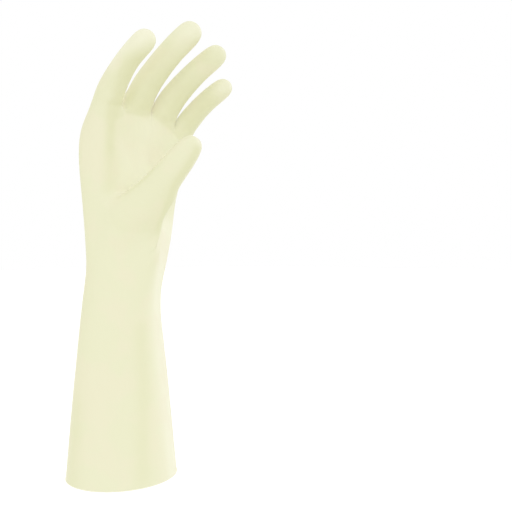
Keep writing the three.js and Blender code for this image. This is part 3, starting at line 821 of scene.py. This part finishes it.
def rolled_edge_tree(material):
    tree = bpy.data.node_groups.new("rolled_edge", "GeometryNodeTree")
    tree.interface.new_socket("Geometry", in_out="INPUT", socket_type="NodeSocketGeometry")
    tree.interface.new_socket("Roll radius", in_out="INPUT", socket_type="NodeSocketFloat")
    tree.interface.new_socket("Points round", in_out="INPUT", socket_type="NodeSocketInt")
    tree.interface.new_socket("Geometry", in_out="OUTPUT", socket_type="NodeSocketGeometry")
    source = add_node(tree, "NodeGroupInput")
    line = add_node(tree, "GeometryNodeMeshToCurve", {"Mesh": source.outputs["Geometry"]})
    circle = add_node(tree, "GeometryNodeCurvePrimitiveCircle", {
        "Radius": source.outputs["Roll radius"], "Resolution": source.outputs["Points round"]})
    bead = add_node(tree, "GeometryNodeCurveToMesh", {
        "Curve": line.outputs["Curve"], "Profile Curve": circle.outputs["Curve"]})
    shade = add_node(tree, "GeometryNodeSetShadeSmooth", {"Geometry": bead.outputs["Mesh"]})
    real = add_node(tree, "GeometryNodeRealizeInstances", {"Geometry": shade.outputs["Geometry"]})
    coat = add_node(tree, "GeometryNodeSetMaterial", {
        "Geometry": real.outputs["Geometry"], "Material": material})
    add_node(tree, "NodeGroupOutput", {"Geometry": coat.outputs["Geometry"]})
    return tree


edge = add_object("rolled_edge_path", path)
roll = edge.modifiers.new("roll", "NODES")
roll.node_group = rolled_edge_tree(latex)
ids = {item.name: item.identifier for item in roll.node_group.interface.items_tree
       if item.in_out == "INPUT"}
roll[ids["Roll radius"]] = ROLL_RADIUS
roll[ids["Points round"]] = ROLL_POINTS
edge = plain_copy(edge, "rolled_edge")
# painted light: the whole roll is made paler
lay_painted_shading(edge.data, [EDGE_LIGHT] * len(edge.data.vertices))
print("rolled edge:", len(edge.data.polygons) * 2, "triangles")

# %% [markdown]
# ## Studio
# The photograph is a bright product picture on plain white with almost no shadow. A warm white
# room lights everything and gives the soft dark between the fingers. Four broad, slightly cool
# lamps give the forms their slight shade: one above the camera, one behind, a stronger one from
# the right that brightens the far edge of the sleeve, and a faint one from below. They throw no
# shadow, as the big soft boxes of such a picture hardly do, and multiple importance sampling is
# off for them, because Cycles would count their light as shadowed in the narrow gaps. The
# camera sees plain white behind the glove and not the room's own colour. The floor lies far
# below the glove, which is held up at its wrist. It is pale enough to run into the background
# and is left out of the bounced light, which a floor that far away hardly has.

# %% Floor
FLOOR_DROP = 190.0 * MM   # below the hem
FLOOR_SIZE = 30.0         # in metres


def make_floor():
    bpy.ops.mesh.primitive_plane_add(size=FLOOR_SIZE, location=(0, 0, HEM - FLOOR_DROP))
    floor = bpy.context.object
    floor.name = "floor"
    paint = bpy.data.materials.new("pale_floor")
    paint.use_nodes = True
    coat = paint.node_tree.nodes["Principled BSDF"].inputs
    coat["Base Color"].default_value = linear("#e6e6e4")
    coat["Roughness"].default_value = 0.9
    coat["Emission Color"].default_value = (1, 1, 1, 1)
    coat["Emission Strength"].default_value = 0.3
    floor.visible_diffuse = False
    floor.data.materials.append(paint)
    return floor


floor = make_floor()
print("floor at", round(floor.location.z, 3), "m")

# %% Light
WARM, COOL = "#ffffee", "#d0cfff"   # light of the room and of the lamps


def add_sun(name, azimuth, elevation, spread, brightness):
    """A soft lamp placed by its angles from the camera's own direction."""
    sun = bpy.data.lights.new(name, "SUN")
    sun.energy, sun.angle, sun.use_shadow = brightness * pi, radians(spread), False
    sun.color = linear(COOL)[:3]
    sun.cycles.use_multiple_importance_sampling = False
    az, el = radians(azimuth), radians(elevation)
    toward = view_right * sin(az) * cos(el) - view_ahead * cos(az) * cos(el) + [0, 0, sin(el)]
    add_object(name, sun).rotation_euler = Vector(toward).to_track_quat("Z", "Y").to_euler()


add_sun("key", azimuth=0, elevation=30, spread=170, brightness=0.34)
add_sun("back", azimuth=180, elevation=30, spread=90, brightness=0.05)
add_sun("rim", azimuth=118, elevation=26, spread=50, brightness=0.20)
add_sun("low", azimuth=0, elevation=-60, spread=120, brightness=0.05)

world = bpy.data.worlds.new("white_room")
world.use_nodes = True
tree = world.node_tree
tree.nodes.clear()
ray = add_node(tree, "ShaderNodeLightPath")
room = add_node(tree, "ShaderNodeBackground", {"Color": linear(WARM), "Strength": 0.875})
backdrop = add_node(tree, "ShaderNodeBackground", {"Color": (1, 1, 1, 1), "Strength": 1.0})
both = add_node(tree, "ShaderNodeMixShader", {
    "Fac": ray.outputs["Is Camera Ray"],
    1: room.outputs["Background"], 2: backdrop.outputs["Background"]})
add_node(tree, "ShaderNodeOutputWorld", {"Surface": both.outputs["Shader"]})
bpy.context.scene.world = world
bpy.context.scene.view_settings.view_transform = "Standard"

# %% [markdown]
# ## Hand over
# Both pieces ride on the one body and stand for the CAD solid, which is hidden.

# %% Finish
for piece in (glove, edge):
    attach(piece, "root")
    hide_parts("glove_body")
